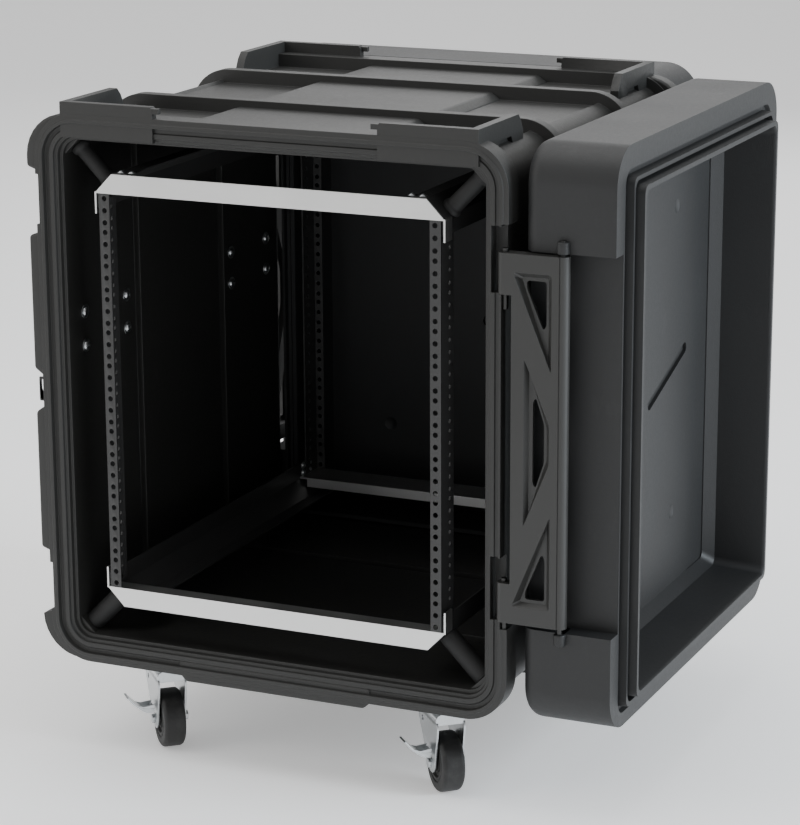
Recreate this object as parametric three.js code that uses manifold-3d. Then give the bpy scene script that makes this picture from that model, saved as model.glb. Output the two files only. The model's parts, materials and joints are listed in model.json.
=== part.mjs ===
// Moulded equipment case with a 12-unit rack frame, two lift-off doors and four casters.
// Millimetres. +X right, +Y to the back, +Z up. The front door is folded back beside the case.
import * as THREE from 'three';
import * as BufferGeometryUtils from 'three/addons/utils/BufferGeometryUtils.js';
import Module from 'manifold-3d';

// Rack: standard 19-inch pattern. Heights below are taken from the bottom of the rack space.
const RACK_UNITS = 12;
const UNIT = 44.45;
const RACK_HEIGHT = RACK_UNITS * UNIT;
const HOLE_HALF_SPACING = 232.55;
const HOLE_OFFSETS = [6.35, 22.225, 38.1];
const HOLE_R = 3.4;
const HOLE_INSET = 7.15;
const RACK_INNER_HALF = HOLE_HALF_SPACING - HOLE_INSET;
const RAIL_FLANGE = 15.2;
const RAIL_SIDE = 40;
const SHEET = 2.5;
const RACK_SETBACK = 6;
const GAP = 0.35;
const BEAM_X = RACK_INNER_HALF + RAIL_FLANGE + GAP;
const BEAM_DROP = 27;
const BEAM_RISE = 20;
const BEAM_BEVEL = 23;
const MOUNT_Y = 40;
const MOUNT_R = 14;

// Case shell. The ring is the stiff edge round each opening.
const CASE_DEPTH = 645;
const RING_FACE = 36;
const SIDE_ROOM = 52.55;
const ROOM_ABOVE = 65.6;
const ROOM_BELOW = 74;
const RING_HALF = BEAM_X + SHEET + SIDE_ROOM + RING_FACE;
const RING_TOP = RACK_HEIGHT + ROOM_ABOVE + RING_FACE;
const RING_BOTTOM = -ROOM_BELOW - RING_FACE;
const RING_R = 58;
const RING_WIDTH = 34;
const SHELL_INSET = 14;
const SHELL_TOP_INSET = 19;
const RIB_START = 190;
const RIB_WIDTH = 18;
const EDGE = 3;
const GUARD = 15;
const PAD_HALF = 130;
const PAD_TOP = RING_TOP - 9;
const WALL_TOP = RING_TOP + 15;
const WALL_OUT = RING_HALF - 40;
const WALL_IN = 157;
const WALL_RUN = 148;
const WALL_T = 12;

// Doors. A door is a little narrower than the ring it shuts on.
const DOOR_HALF = RING_HALF - 9;
const DOOR_R = 50;
const DOOR_DEPTH = 120;
const DOOR_FRAME = RING_FACE + 22;
const DOOR_SKIN = 50;
const DOOR_RECESS = 26;
const RIM_GAP = 1;
const RECESS_LOW = RING_BOTTOM + 130;
const RECESS_HIGH = RING_TOP - 131;

// Two-axis hinge
const CASE_AXIS_X = RING_HALF - 6;
const CASE_AXIS_Y = 7;
const RIM_TO_AXIS = 68;
const PLATE_SPAN = CASE_AXIS_Y + RIM_TO_AXIS;
const PLATE_T = 18;
const PLATE_LOW = RECESS_LOW + 8;
const PLATE_HIGH = RECESS_HIGH - 2;
const PLATE_INSET = 11;
const TAB_HEIGHT = 52;
const TAB_LIFT = 31;
const PIN_R = 4;
const PIN_PLAY = 0.3;
const ROD_R = 3.5;

// Latches, lock loops and pull handles
const LATCH_HIGH_Z = RING_TOP - 115;
const LATCH_LOW_Z = RING_BOTTOM + 101;
const LATCH_FACE = RING_HALF - 4;
const LATCH_Y = 56;
const LOCK_Z = 261;
const HANDLE_Y = (RING_WIDTH + RIB_START) / 2;
const HANDLE_Z = 338;
const HANDLE_FLOOR = RING_HALF - 24;
const BAIL_R = 4;

// Casters
const CASTER_X = 205;
const CASTER_Y = 78;
const WHEEL_R = 40;
const WHEEL_W = 30;
const AXLE_R = 5;
const CASTER_TRAIL = 30;
const CASTER_DROP = 81;
const CASTER_TURN = 42;
const SKID_HALF = CASTER_X - 65;

const wasm = await Module();
wasm.setup();

const colours = {
  shell: 0x34342f, door: 0x333536, hinge: 0x2c2c2a, rail: 0x3a3a3a, bar: 0xc4c5c1,
  zinc: 0xb9bcbc, rubber: 0x161616, black: 0x1b1b1b,
};
const part = new THREE.Group();

function clean(geometry) {
  geometry.deleteAttribute('normal');
  geometry.deleteAttribute('uv');
  return BufferGeometryUtils.mergeVertices(geometry, 1e-4);
}

function solid(geometry) {
  const g = clean(geometry.clone());
  const mesh = new wasm.Mesh({
    numProp: 3,
    vertProperties: new Float32Array(g.attributes.position.array),
    triVerts: new Uint32Array(g.index.array),
  });
  return new wasm.Manifold(mesh);
}

function fromSolid(manifold) {
  const mesh = manifold.getMesh();
  const g = new THREE.BufferGeometry();
  g.setAttribute('position', new THREE.BufferAttribute(new Float32Array(mesh.vertProperties), 3));
  g.setIndex(new THREE.BufferAttribute(new Uint32Array(mesh.triVerts), 1));
  return g;
}

function combine(start, added, removed = []) {
  let body = solid(start);
  for (const g of added) body = body.add(solid(g));
  for (const g of removed) body = body.subtract(solid(g));
  return fromSolid(body);
}

function box(x0, x1, y0, y1, z0, z1) {
  const g = new THREE.BoxGeometry(Math.abs(x1 - x0), Math.abs(y1 - y0), Math.abs(z1 - z0));
  return g.translate((x0 + x1) / 2, (y0 + y1) / 2, (z0 + z1) / 2);
}

// Upright cylinder from z0 to z1
function post(x, y, r, z0, z1, sides = 16) {
  const g = new THREE.CylinderGeometry(r, r, z1 - z0, sides);
  return g.rotateX(Math.PI / 2).translate(x, y, (z0 + z1) / 2);
}

// Outline in X and Z, pushed along +Y from y0 to y1
function slabY(points, y0, y1, holes = []) {
  const shape = new THREE.Shape(points.map(([x, z]) => new THREE.Vector2(x, z)));
  for (const h of holes) shape.holes.push(new THREE.Path(h.map(([x, z]) => new THREE.Vector2(x, z))));
  const g = new THREE.ExtrudeGeometry(shape, { depth: y1 - y0, bevelEnabled: false });
  return g.rotateX(Math.PI / 2).translate(0, y1, 0);
}

// Outline in X and Y, pushed along +Z from z0 to z1
function slabZ(points, z0, z1) {
  const shape = new THREE.Shape(points.map(([x, y]) => new THREE.Vector2(x, y)));
  return new THREE.ExtrudeGeometry(shape, { depth: z1 - z0, bevelEnabled: false }).translate(0, 0, z0);
}

// Outline in Y and Z, pushed along +X from x0 to x1
function slabX(points, x0, x1) {
  const shape = new THREE.Shape(points.map(([y, z]) => new THREE.Vector2(y, z)));
  const g = new THREE.ExtrudeGeometry(shape, { depth: x1 - x0, bevelEnabled: false });
  return g.rotateZ(Math.PI / 2).rotateY(Math.PI / 2).translate(x0, 0, 0);
}

// Rounded rectangle in X and Z at depth y: the ring outline drawn in by an inset
function loop(y, half, low, high, r, steps = 5) {
  const points = [];
  const corners = [[half - r, low + r, -90], [half - r, high - r, 0], [r - half, high - r, 90],
    [r - half, low + r, 180]];
  for (const [cx, cz, start] of corners) {
    for (let i = 0; i <= steps; i += 1) {
      const a = THREE.MathUtils.degToRad(start + (90 * i) / steps);
      points.push([cx + r * Math.cos(a), y, cz + r * Math.sin(a)]);
    }
  }
  return points;
}

// Skin through a list of loops. Closed ends are flat caps, or the list runs round as a tube.
function loft(loops, ring) {
  const n = loops[0].length;
  const position = loops.flat(2);
  const index = [];
  const rows = ring ? loops.length : loops.length - 1;
  for (let i = 0; i < rows; i += 1) {
    const a = i * n;
    const b = ((i + 1) % loops.length) * n;
    for (let j = 0; j < n; j += 1) {
      const k = (j + 1) % n;
      index.push(a + j, a + k, b + k, a + j, b + k, b + j);
    }
  }
  if (!ring) {
    const last = (loops.length - 1) * n;
    for (let j = 1; j < n - 1; j += 1) {
      index.push(0, j + 1, j);
      index.push(last, last + j, last + j + 1);
    }
  }
  const g = new THREE.BufferGeometry();
  g.setAttribute('position', new THREE.BufferAttribute(new Float32Array(position), 3));
  g.setIndex(index);
  return g;
}

// Half a turn about the upright line through the middle of the case
function turned(geometry) {
  return geometry.clone().rotateZ(Math.PI).translate(0, CASE_DEPTH, 0);
}

function mirrored(geometry, axis) {
  const g = clean(geometry.clone());
  g.scale(axis === 'x' ? -1 : 1, axis === 'y' ? -1 : 1, axis === 'z' ? -1 : 1);
  const index = g.index.array;
  for (let i = 0; i < index.length; i += 3) {
    const first = index[i];
    index[i] = index[i + 1];
    index[i + 1] = first;
  }
  return g;
}

function mirrorX(geometry) {
  return mirrored(geometry, 'x');
}

function mirrorY(geometry) {
  return mirrored(geometry, 'y').translate(0, CASE_DEPTH, 0);
}

function mirrorZ(geometry, centre) {
  return mirrored(geometry, 'z').translate(0, 0, 2 * centre);
}

function add(name, geometry, colour) {
  const g = clean(geometry.clone()).toNonIndexed();
  g.computeVertexNormals();
  const material = new THREE.MeshStandardMaterial({ color: colours[colour], roughness: 0.6 });
  const mesh = new THREE.Mesh(g, material);
  mesh.name = name;
  part.add(mesh);
}

// ---- Case body ----
function ringLoop(y, inset, extraTop = 0) {
  return loop(y, RING_HALF - inset, RING_BOTTOM + inset, RING_TOP - inset - extraTop,
    Math.max(RING_R - inset, 16));
}

function caseOutside() {
  const y = CASE_DEPTH;
  const shell = (at) => ringLoop(at, SHELL_INSET, SHELL_TOP_INSET - SHELL_INSET);
  const f = RING_FACE;
  const back = [[0, EDGE], [0, f - 15], [6, f - 13], [6, f - 7], [0, f - 5], [0, f - 1], [EDGE, f]];
  const loops = [];
  for (const [at, inset] of back) loops.push(ringLoop(at, inset));
  for (const [at, inset] of [...back].reverse()) loops.push(ringLoop(y - at, inset));
  loops.push(ringLoop(y - EDGE, 0), ringLoop(y - RING_WIDTH, 0), shell(y - RING_WIDTH));
  for (const start of [y - RIB_START, RIB_START + RIB_WIDTH]) {
    loops.push(shell(start), ringLoop(start, 0), ringLoop(start - RIB_WIDTH, 0), shell(start - RIB_WIDTH));
  }
  loops.push(shell(RING_WIDTH), ringLoop(RING_WIDTH, 0), ringLoop(EDGE, 0));
  return loft(loops, true);
}

function caseBody() {
  const y = CASE_DEPTH;
  const corner = slabZ([[WALL_IN, 2], [WALL_OUT, 2], [WALL_OUT, WALL_RUN], [WALL_OUT - WALL_T, WALL_RUN],
    [WALL_OUT - WALL_T, 2 + WALL_T], [WALL_IN, 2 + WALL_T]], RING_TOP - 31, WALL_TOP);
  const roof = RING_TOP - SHELL_TOP_INSET;
  const pad = slabY([[-PAD_HALF - 14, roof - 12], [PAD_HALF + 14, roof - 12], [PAD_HALF + 14, roof],
    [PAD_HALF, PAD_TOP], [-PAD_HALF, PAD_TOP], [-PAD_HALF - 14, roof]], 20, y - 20);
  const low = RING_BOTTOM;
  const skid = slabY([[-SKID_HALF, low + 20], [-SKID_HALF, low + 1], [10 - SKID_HALF, low - 9],
    [SKID_HALF - 10, low - 9], [SKID_HALF, low + 1], [SKID_HALF, low + 20]], 4, y - 4);
  const seat = box(CASTER_X - 52, CASTER_X + 52, 20, CASTER_Y + 50, low + 20, low);
  const seats = [seat, mirrorX(seat), mirrorY(seat), turned(seat)];
  const inner = 2 - RING_HALF;
  const outer = -RING_HALF - GUARD;
  const guard = (z0, z1, z2, z3) => (
    slabY([[inner, z0], [outer, z1], [outer, z2], [inner, z3]], 5, RING_WIDTH - 2));
  const guards = [
    guard(LATCH_HIGH_Z + 36, LATCH_HIGH_Z + 42, LATCH_HIGH_Z + 62, LATCH_HIGH_Z + 82),
    guard(LOCK_Z + 18, LOCK_Z + 30, LATCH_HIGH_Z - 50, LATCH_HIGH_Z - 44),
    guard(LATCH_LOW_Z + 46, LATCH_LOW_Z + 52, LOCK_Z - 30, LOCK_Z - 18),
    guard(low + 22, low + 40, low + 52, low + 60),
  ];
  const bosses = [LATCH_HIGH_Z, LATCH_LOW_Z].map((z) => (
    box(-LATCH_FACE, 22 - RING_HALF, 20, LATCH_Y + 56, z - 42, z + 42)));
  const sets = [corner, mirrorX(corner), mirrorY(corner), turned(corner)];
  const added = [pad, skid, ...seats, ...sets];
  for (const g of [...guards, ...bosses]) added.push(g, turned(g));

  const removed = [];
  const cut = (g) => removed.push(g, turned(g));
  for (const z of [LATCH_HIGH_Z, LATCH_LOW_Z]) {
    cut(box(-LATCH_FACE, -RING_HALF - 8, -1, LATCH_Y + 4, z - 33, z + 33));
  }
  cut(box(DOOR_HALF, RING_HALF + 8, -1, RING_WIDTH + 1, RECESS_LOW - 2, PLATE_HIGH + TAB_LIFT + 3));
  for (const z of [PLATE_LOW, PLATE_HIGH - TAB_HEIGHT]) {
    cut(box(CASE_AXIS_X - PLATE_T, RING_HALF + 8, -1, CASE_AXIS_Y + 15, z, z + TAB_HEIGHT + TAB_LIFT));
    cut(post(CASE_AXIS_X, CASE_AXIS_Y, PIN_R + PIN_PLAY, z - 20, z + 1));
  }
  for (const side of [-1, 1]) {
    const x0 = side * HANDLE_FLOOR;
    const x1 = side * (RING_HALF - 2);
    cut(box(x0, x1, HANDLE_Y - 68, HANDLE_Y + 68, HANDLE_Z - 52, HANDLE_Z + 52));
  }
  return combine(caseOutside(), added, removed);
}
add('case_body', caseBody(), 'shell');

function pair(front, rear, geometry, colour) {
  add(front, geometry, colour);
  add(rear, turned(geometry), colour);
}

// ---- Hinge pins in the case, one under each tab of a hinge plate ----
for (const [level, low] of [['lower', PLATE_LOW], ['upper', PLATE_HIGH - TAB_HEIGHT]]) {
  const pin = post(CASE_AXIS_X, CASE_AXIS_Y, PIN_R, low - 19.6, low + TAB_HEIGHT + 5);
  pair(`front_hinge_pin_${level}`, `rear_hinge_pin_${level}`, pin, 'zinc');
}

// ---- Hinge plate, drawn straight out from the case ----
function hingePlate() {
  const ax = CASE_AXIS_X;
  const dx = ax + PLATE_SPAN;
  const mid = (PLATE_LOW + PLATE_HIGH) / 2;
  const left = ax + PLATE_INSET;
  const right = dx - 8;
  const tri = [[left + 16, PLATE_HIGH - 26], [right - 10, PLATE_HIGH - 26], [right - 10, PLATE_HIGH - 96]];
  const low = [[left + 16, PLATE_LOW + 26], [right - 10, PLATE_LOW + 26], [right - 10, PLATE_LOW + 96]];
  const middle = [[left + 12, mid + 58], [left + 28, mid + 30], [left + 28, mid - 30], [left + 12, mid - 58]];
  const web = slabY([[left, PLATE_LOW], [dx, PLATE_LOW], [dx, PLATE_HIGH], [left, PLATE_HIGH]],
    CASE_AXIS_Y - PLATE_T / 2, CASE_AXIS_Y + PLATE_T / 2, [tri, low, middle]);
  const added = [post(dx, CASE_AXIS_Y, PLATE_T / 2, PLATE_LOW, PLATE_HIGH)];
  const removed = [post(dx, CASE_AXIS_Y, ROD_R + PIN_PLAY, PLATE_LOW - 1, PLATE_HIGH + 1)];
  for (const z of [PLATE_LOW, PLATE_HIGH - TAB_HEIGHT]) {
    added.push(post(ax, CASE_AXIS_Y, PLATE_T / 2, z, z + TAB_HEIGHT));
    added.push(box(ax, left + 2, CASE_AXIS_Y - PLATE_T / 2, CASE_AXIS_Y + PLATE_T / 2, z, z + TAB_HEIGHT));
    removed.push(post(ax, CASE_AXIS_Y, PIN_R + PIN_PLAY, z - 1, z + TAB_HEIGHT + 1));
  }
  return combine(web, added, removed);
}

// ---- Door, drawn shut on the front of the case ----
function doorLoop(y, inset) {
  const r = Math.max(DOOR_R - inset, 14);
  return loop(y - RIM_GAP, DOOR_HALF - inset, RING_BOTTOM + inset, RING_TOP - inset, r);
}

function door() {
  const d = -DOOR_DEPTH;
  const f = RING_FACE;
  const profile = [[d, 18], [d + 4, 7], [d + 16, 0], [0, 0], [0, f - 6], [-6, f - 4], [-6, f + 2], [8, f + 3],
    [8, f + 8], [-4, f + 9], [-4, f + 13], [18, f + 14], [18, f + 20], [14, DOOR_FRAME],
    [d + DOOR_SKIN + 16, DOOR_FRAME + 6], [d + DOOR_SKIN, DOOR_FRAME + 18]].reverse();
  const shell = loft(profile.map(([y, inset]) => doorLoop(y, inset)), false);
  const side = DOOR_HALF - DOOR_RECESS;
  const removed = [box(side, DOOR_HALF + 2, d - 2, RIM_GAP, RECESS_LOW, RECESS_HIGH)];
  const added = [];
  for (const [low, high] of [[RECESS_LOW - 18, RECESS_LOW], [RECESS_HIGH, RECESS_HIGH + 18]]) {
    const y = -RIM_TO_AXIS;
    added.push(box(side, CASE_AXIS_X + 8, y - 9, y + 9, low, high));
    removed.push(post(CASE_AXIS_X, y, ROD_R + PIN_PLAY, low - 1, high + 1));
  }
  for (const z of [LATCH_HIGH_Z, LATCH_LOW_Z]) {
    removed.push(box(-DOOR_HALF + 7, -DOOR_HALF - 2, -44, RIM_GAP, z - 22, z + 22));
  }
  return combine(shell, added, removed);
}

function doorRod() {
  return post(CASE_AXIS_X, -RIM_TO_AXIS, ROD_R, RECESS_LOW - 17, RECESS_HIGH + 17);
}

// Turns a piece drawn on the shut door about an upright line
function swung(geometry, x, y, degrees) {
  return geometry.clone().translate(-x, -y, 0).rotateZ(THREE.MathUtils.degToRad(degrees)).translate(x, y, 0);
}

function folded(geometry) {
  const open = swung(geometry, CASE_AXIS_X, CASE_AXIS_Y, 90);
  return swung(open, CASE_AXIS_X + PLATE_SPAN, CASE_AXIS_Y, 180);
}

add('front_door', folded(door()), 'door');
add('front_door_rod', folded(doorRod()), 'zinc');
add('front_hinge_plate', hingePlate(), 'hinge');
add('rear_door', turned(door()), 'door');
add('rear_door_rod', turned(doorRod()), 'zinc');
add('rear_hinge_plate', turned(swung(hingePlate(), CASE_AXIS_X, CASE_AXIS_Y, -90)), 'hinge');

// ---- Twist latches on the left at the front, and on the right at the back ----
for (const [level, z] of [['upper', LATCH_HIGH_Z], ['lower', LATCH_LOW_Z]]) {
  const x = -LATCH_FACE - GAP;
  const dish = combine(
    box(x - 3, x, LATCH_Y - 48, LATCH_Y + 48, z - 32, z + 32),
    [],
    [box(x - 2, x - 4, LATCH_Y - 40, LATCH_Y + 40, z - 24, z + 24)],
  );
  pair(`front_latch_dish_${level}`, `rear_latch_dish_${level}`, dish, 'zinc');
  const boss = new THREE.CylinderGeometry(15, 15, 8, 20).rotateZ(Math.PI / 2);
  boss.translate(x - 2 - GAP - 4, LATCH_Y, z);
  const lever = combine(boss, [box(x - 8, x - 14, LATCH_Y - 22, LATCH_Y + 22, z - 4, z + 4)]);
  pair(`front_latch_lever_${level}`, `rear_latch_lever_${level}`, lever, 'zinc');
}

// ---- Padlock loops in the gap of the edge guard ----
function lockLoop() {
  const x0 = -RING_HALF - GUARD + 1;
  const x1 = -RING_HALF - GAP;
  const outline = [[x0, LOCK_Z - 16.5], [x1, LOCK_Z - 16.5], [x1, LOCK_Z + 16.5], [x0, LOCK_Z + 16.5]];
  const a = x0 + 3.5;
  const b = x1 - 3.65;
  return slabY(outline, 14, 18, [[[a, LOCK_Z - 13], [b, LOCK_Z - 13], [b, LOCK_Z + 13], [a, LOCK_Z + 13]]]);
}
pair('front_lock_loop', 'rear_lock_loop', lockLoop(), 'black');

// ---- Drop handles, two on each side ----
function handleDish() {
  const x = HANDLE_FLOOR + GAP;
  const plate = box(x, x + 3, HANDLE_Y - 66, HANDLE_Y + 66, HANDLE_Z - 50, HANDLE_Z + 50);
  const ears = [-1, 1].map((s) => (
    box(x + 1, x + 20, HANDLE_Y + s * 50, HANDLE_Y + s * 62, HANDLE_Z + 16, HANDLE_Z + 40)));
  const bore = new THREE.CylinderGeometry(BAIL_R + PIN_PLAY, BAIL_R + PIN_PLAY, 130, 12);
  return combine(plate, ears, [bore.translate(x + 11, HANDLE_Y, HANDLE_Z + 28)]);
}

function handleBail() {
  const x = HANDLE_FLOOR + GAP + 11;
  const pivot = new THREE.CylinderGeometry(BAIL_R, BAIL_R, 121, 12).translate(x, HANDLE_Y, HANDLE_Z + 28);
  const keep = box(x - 5, x + 5, HANDLE_Y - 38, HANDLE_Y + 38, HANDLE_Z + 20, HANDLE_Z + 36);
  const grip = new THREE.CylinderGeometry(7.4, 7.4, 84, 14).translate(x, HANDLE_Y, HANDLE_Z - 36);
  const legs = [-1, 1].map((s) => (
    box(x - 4.5, x + 4.5, HANDLE_Y + s * 38, HANDLE_Y + s * 48, HANDLE_Z - 42, HANDLE_Z + 33)));
  return combine(grip, [...legs, pivot], [keep]);
}

for (const [name, make, colour] of [['dish', handleDish, 'black'], ['bail', handleBail, 'rubber']]) {
  const g = make();
  add(`right_front_handle_${name}`, g, colour);
  add(`right_rear_handle_${name}`, mirrorY(g), colour);
  add(`left_front_handle_${name}`, mirrorX(g), colour);
  add(`left_rear_handle_${name}`, turned(g), colour);
}

// ---- Rack frame ----
function rail() {
  const x0 = RACK_INNER_HALF;
  const x1 = x0 + RAIL_FLANGE;
  const holes = [];
  for (let unit = 0; unit < RACK_UNITS; unit += 1) {
    for (const offset of HOLE_OFFSETS) {
      const hole = [];
      for (let k = 0; k < 6; k += 1) {
        const a = (k * Math.PI) / 3;
        hole.push([HOLE_HALF_SPACING + HOLE_R * Math.cos(a), unit * UNIT + offset + HOLE_R * Math.sin(a)]);
      }
      holes.push(hole);
    }
  }
  const y = RACK_SETBACK;
  const top = RACK_HEIGHT - GAP;
  const face = slabY([[x0, GAP], [x1, GAP], [x1, top], [x0, top]], y, y + SHEET, holes);
  return combine(face, [box(x1 - SHEET, x1, y + 1, y + RAIL_SIDE, GAP, top)]);
}

// A folded channel whose outer corner is cut back at 45 degrees for the rubber mounts
function beam() {
  const y0 = RACK_SETBACK + SHEET + GAP;
  const x = BEAM_X + SHEET;
  const low = -BEAM_DROP;
  const fold = SHEET * Math.tan(Math.PI / 8);
  return slabY([[x, BEAM_RISE], [x, low + BEAM_BEVEL], [x - BEAM_BEVEL, low], [x - 44, low], [x - 44, low + SHEET],
    [x - BEAM_BEVEL - fold, low + SHEET], [x - SHEET, low + BEAM_BEVEL + fold], [x - SHEET, BEAM_RISE]],
  y0, CASE_DEPTH - y0);
}

function crossbar(webDepth, lip) {
  const y = RACK_SETBACK;
  const out = BEAM_X + SHEET + GAP + 2.6;
  const flange = slabY([[-out, 0], [-out + 25, -26], [out - 25, -26], [out, 0]], y, y + SHEET);
  const half = BEAM_X - GAP;
  const added = [box(-half, half, y + 1, y + webDepth, -SHEET, 0)];
  for (const s of [-1, 1]) added.push(box(s * out, s * (out - 2.4), y, y + 22, -2, 27));
  const lipHalf = half - 12;
  if (lip) added.push(box(-lipHalf, lipHalf, y + webDepth - SHEET, y + webDepth, -14, 0));
  return combine(flange, added);
}

const railShape = rail();
add('rack_rail_front_right', railShape, 'rail');
add('rack_rail_front_left', mirrorX(railShape), 'rail');
add('rack_rail_rear_right', mirrorY(railShape), 'rail');
add('rack_rail_rear_left', turned(railShape), 'rail');
const beamShape = beam();
add('side_beam_lower_right', beamShape, 'rail');
add('side_beam_lower_left', mirrorX(beamShape), 'rail');
add('side_beam_upper_right', mirrorZ(beamShape, RACK_HEIGHT / 2), 'rail');
add('side_beam_upper_left', mirrorX(mirrorZ(beamShape, RACK_HEIGHT / 2)), 'rail');
const frontBar = crossbar(24, false);
const rearBar = mirrorY(crossbar(58, true));
add('crossbar_front_lower', frontBar, 'bar');
add('crossbar_front_upper', mirrorZ(frontBar, RACK_HEIGHT / 2), 'bar');
add('crossbar_rear_lower', rearBar, 'bar');
add('crossbar_rear_upper', mirrorZ(rearBar, RACK_HEIGHT / 2), 'bar');

// Rubber mounts, each from the slanted face of a lower beam out to the round inner corner of the shell
function mount() {
  const r = RING_R - RING_FACE;
  const cornerX = RING_HALF - RING_FACE - r;
  const cornerZ = RING_BOTTOM + RING_FACE + r;
  const out = Math.sqrt((r - GAP) ** 2 - MOUNT_R ** 2);
  const face = (BEAM_X + SHEET + BEAM_DROP - BEAM_BEVEL - cornerX + cornerZ) * Math.SQRT1_2 + GAP;
  const g = new THREE.CylinderGeometry(MOUNT_R, MOUNT_R - 1, out - face, 18).translate(0, (out + face) / 2, 0);
  return g.rotateX(Math.PI / 2).rotateY(Math.PI * 0.75).translate(cornerX, MOUNT_Y, cornerZ);
}
const mountShape = mount();
add('rubber_mount_front_right', mountShape, 'rubber');
add('rubber_mount_front_left', mirrorX(mountShape), 'rubber');
add('rubber_mount_rear_right', mirrorY(mountShape), 'rubber');
add('rubber_mount_rear_left', turned(mountShape), 'rubber');

// ---- Casters, drawn about their own swivel line, trailing along +X with the axle along Y ----
const PLATE_Z = RING_BOTTOM - GAP;
const FORK_TOP = PLATE_Z - 3 - GAP;
const AXLE_Z = FORK_TOP - CASTER_DROP;

function casterPlate() {
  return box(-46, 46, -36, 36, PLATE_Z - 3, PLATE_Z);
}

function fork() {
  const t = CASTER_TRAIL;
  const outline = [[-26, FORK_TOP - 8], [t + 20, FORK_TOP - 8], [t + 24, FORK_TOP - 26], [t + 13, AXLE_Z - 6],
    [t + 6, AXLE_Z - 13], [t - 6, AXLE_Z - 13], [t - 13, AXLE_Z - 6], [-22, FORK_TOP - 34]];
  const half = WHEEL_W / 2;
  const legs = [slabY(outline, half + 2, half + 5), slabY(outline, -half - 5, -half - 2)];
  const race = post(0, 0, 27, FORK_TOP - 14, FORK_TOP, 20);
  const bridge = box(-26, t + 18, -half - 4, half + 4, FORK_TOP - 20, FORK_TOP - 8);
  const axle = new THREE.CylinderGeometry(AXLE_R, AXLE_R, WHEEL_W + 20, 12).translate(t, 0, AXLE_Z);
  return combine(race, [bridge, ...legs, axle]);
}

function wheel() {
  const w = WHEEL_W / 2;
  const r = WHEEL_R;
  const bore = AXLE_R + PIN_PLAY;
  const side = [[bore, w - 1], [11, w - 1], [12, w - 5], [r - 16, w - 5], [r - 14, w - 1], [r - 5, w],
    [r, w - 6]];
  const profile = [...side.map(([a, b]) => [a, -b]), ...side.reverse(), [bore, 1 - w]];
  const points = profile.map(([a, b]) => new THREE.Vector2(a, b));
  return new THREE.LatheGeometry(points, 22).translate(CASTER_TRAIL, 0, AXLE_Z);
}

function brakeLever() {
  const v = WHEEL_W / 2 + 6.5;
  const z = AXLE_Z + 18;
  const outline = [[v, z - 3], [v + 15, z], [v + 28, z + 7], [v + 39, z + 19], [v + 36, z + 20],
    [v + 25, z + 11], [v + 13, z + 5], [v, z + 3]];
  return slabX(outline, CASTER_TRAIL - 11, CASTER_TRAIL + 11);
}

// Angle of each caster's trail, from +X
const casters = [
  ['front_left', -CASTER_X, CASTER_Y, -90 + CASTER_TURN, true],
  ['front_right', CASTER_X, CASTER_Y, -90 + CASTER_TURN, true],
  ['rear_left', -CASTER_X, CASE_DEPTH - CASTER_Y, 90 - CASTER_TURN, false],
  ['rear_right', CASTER_X, CASE_DEPTH - CASTER_Y, 90 + CASTER_TURN, false],
];
for (const [name, x, y, angle, brake] of casters) {
  const place = (g) => g.clone().rotateZ(THREE.MathUtils.degToRad(angle)).translate(x, y, 0);
  add(`caster_plate_${name}`, casterPlate().translate(x, y, 0), 'zinc');
  add(`caster_fork_${name}`, place(fork()), 'zinc');
  add(`caster_wheel_${name}`, place(wheel()), 'rubber');
  if (brake) add(`brake_lever_${name}`, place(mirrored(brakeLever(), 'y')), 'zinc');
}

// The row's origin is on the floor under the middle of the footprint
const footprint = new THREE.Box3().setFromObject(part);
const shift = new THREE.Vector3(
  -(footprint.min.x + footprint.max.x) / 2,
  -(footprint.min.y + footprint.max.y) / 2,
  -footprint.min.z,
);
for (const mesh of part.children) mesh.geometry.translate(shift.x, shift.y, shift.z);

export default part;
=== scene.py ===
import json
import math

import bmesh
import bpy
from mathutils import Matrix, Vector


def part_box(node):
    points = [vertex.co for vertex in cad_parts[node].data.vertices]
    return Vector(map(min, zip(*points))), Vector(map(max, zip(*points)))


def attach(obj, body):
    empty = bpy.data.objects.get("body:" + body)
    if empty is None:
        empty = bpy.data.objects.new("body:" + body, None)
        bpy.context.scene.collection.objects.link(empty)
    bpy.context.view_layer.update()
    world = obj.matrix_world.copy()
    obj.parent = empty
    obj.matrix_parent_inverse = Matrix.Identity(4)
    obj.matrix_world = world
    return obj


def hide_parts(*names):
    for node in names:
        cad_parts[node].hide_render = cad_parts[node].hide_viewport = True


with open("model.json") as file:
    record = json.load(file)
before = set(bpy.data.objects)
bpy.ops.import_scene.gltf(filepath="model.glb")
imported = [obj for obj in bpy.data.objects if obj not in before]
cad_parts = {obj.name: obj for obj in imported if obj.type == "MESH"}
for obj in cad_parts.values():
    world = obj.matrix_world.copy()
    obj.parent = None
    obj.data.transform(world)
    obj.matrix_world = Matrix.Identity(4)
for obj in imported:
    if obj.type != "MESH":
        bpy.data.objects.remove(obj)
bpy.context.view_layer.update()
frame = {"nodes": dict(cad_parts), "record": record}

# ---- Sizes, in metres. X right, Y back from the front rim, Z up from the bottom of the rack space.
rail_low, rail_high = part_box("rack_rail_front_right")
case_low, case_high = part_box("case_body")
left_rail_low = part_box("rack_rail_front_left")[0]
GAP = 0.00035
ORIGIN = Vector(((rail_high.x + left_rail_low.x) / 2, case_low.y, rail_low.z - GAP))
DEPTH = case_high.y - case_low.y
RACK_TOP = rail_high.z - rail_low.z + 2 * GAP
RING_HALF = 0.332
RING_TOP = case_high.z - ORIGIN.z - 0.015
RING_LOW = case_low.z - ORIGIN.z + 0.009
RING_FACE = 0.036
RING_WIDTH = 0.034
RING_CORNER = 0.058
RIBS = (0.190, 0.208, DEPTH - 0.208, DEPTH - 0.190)
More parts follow.
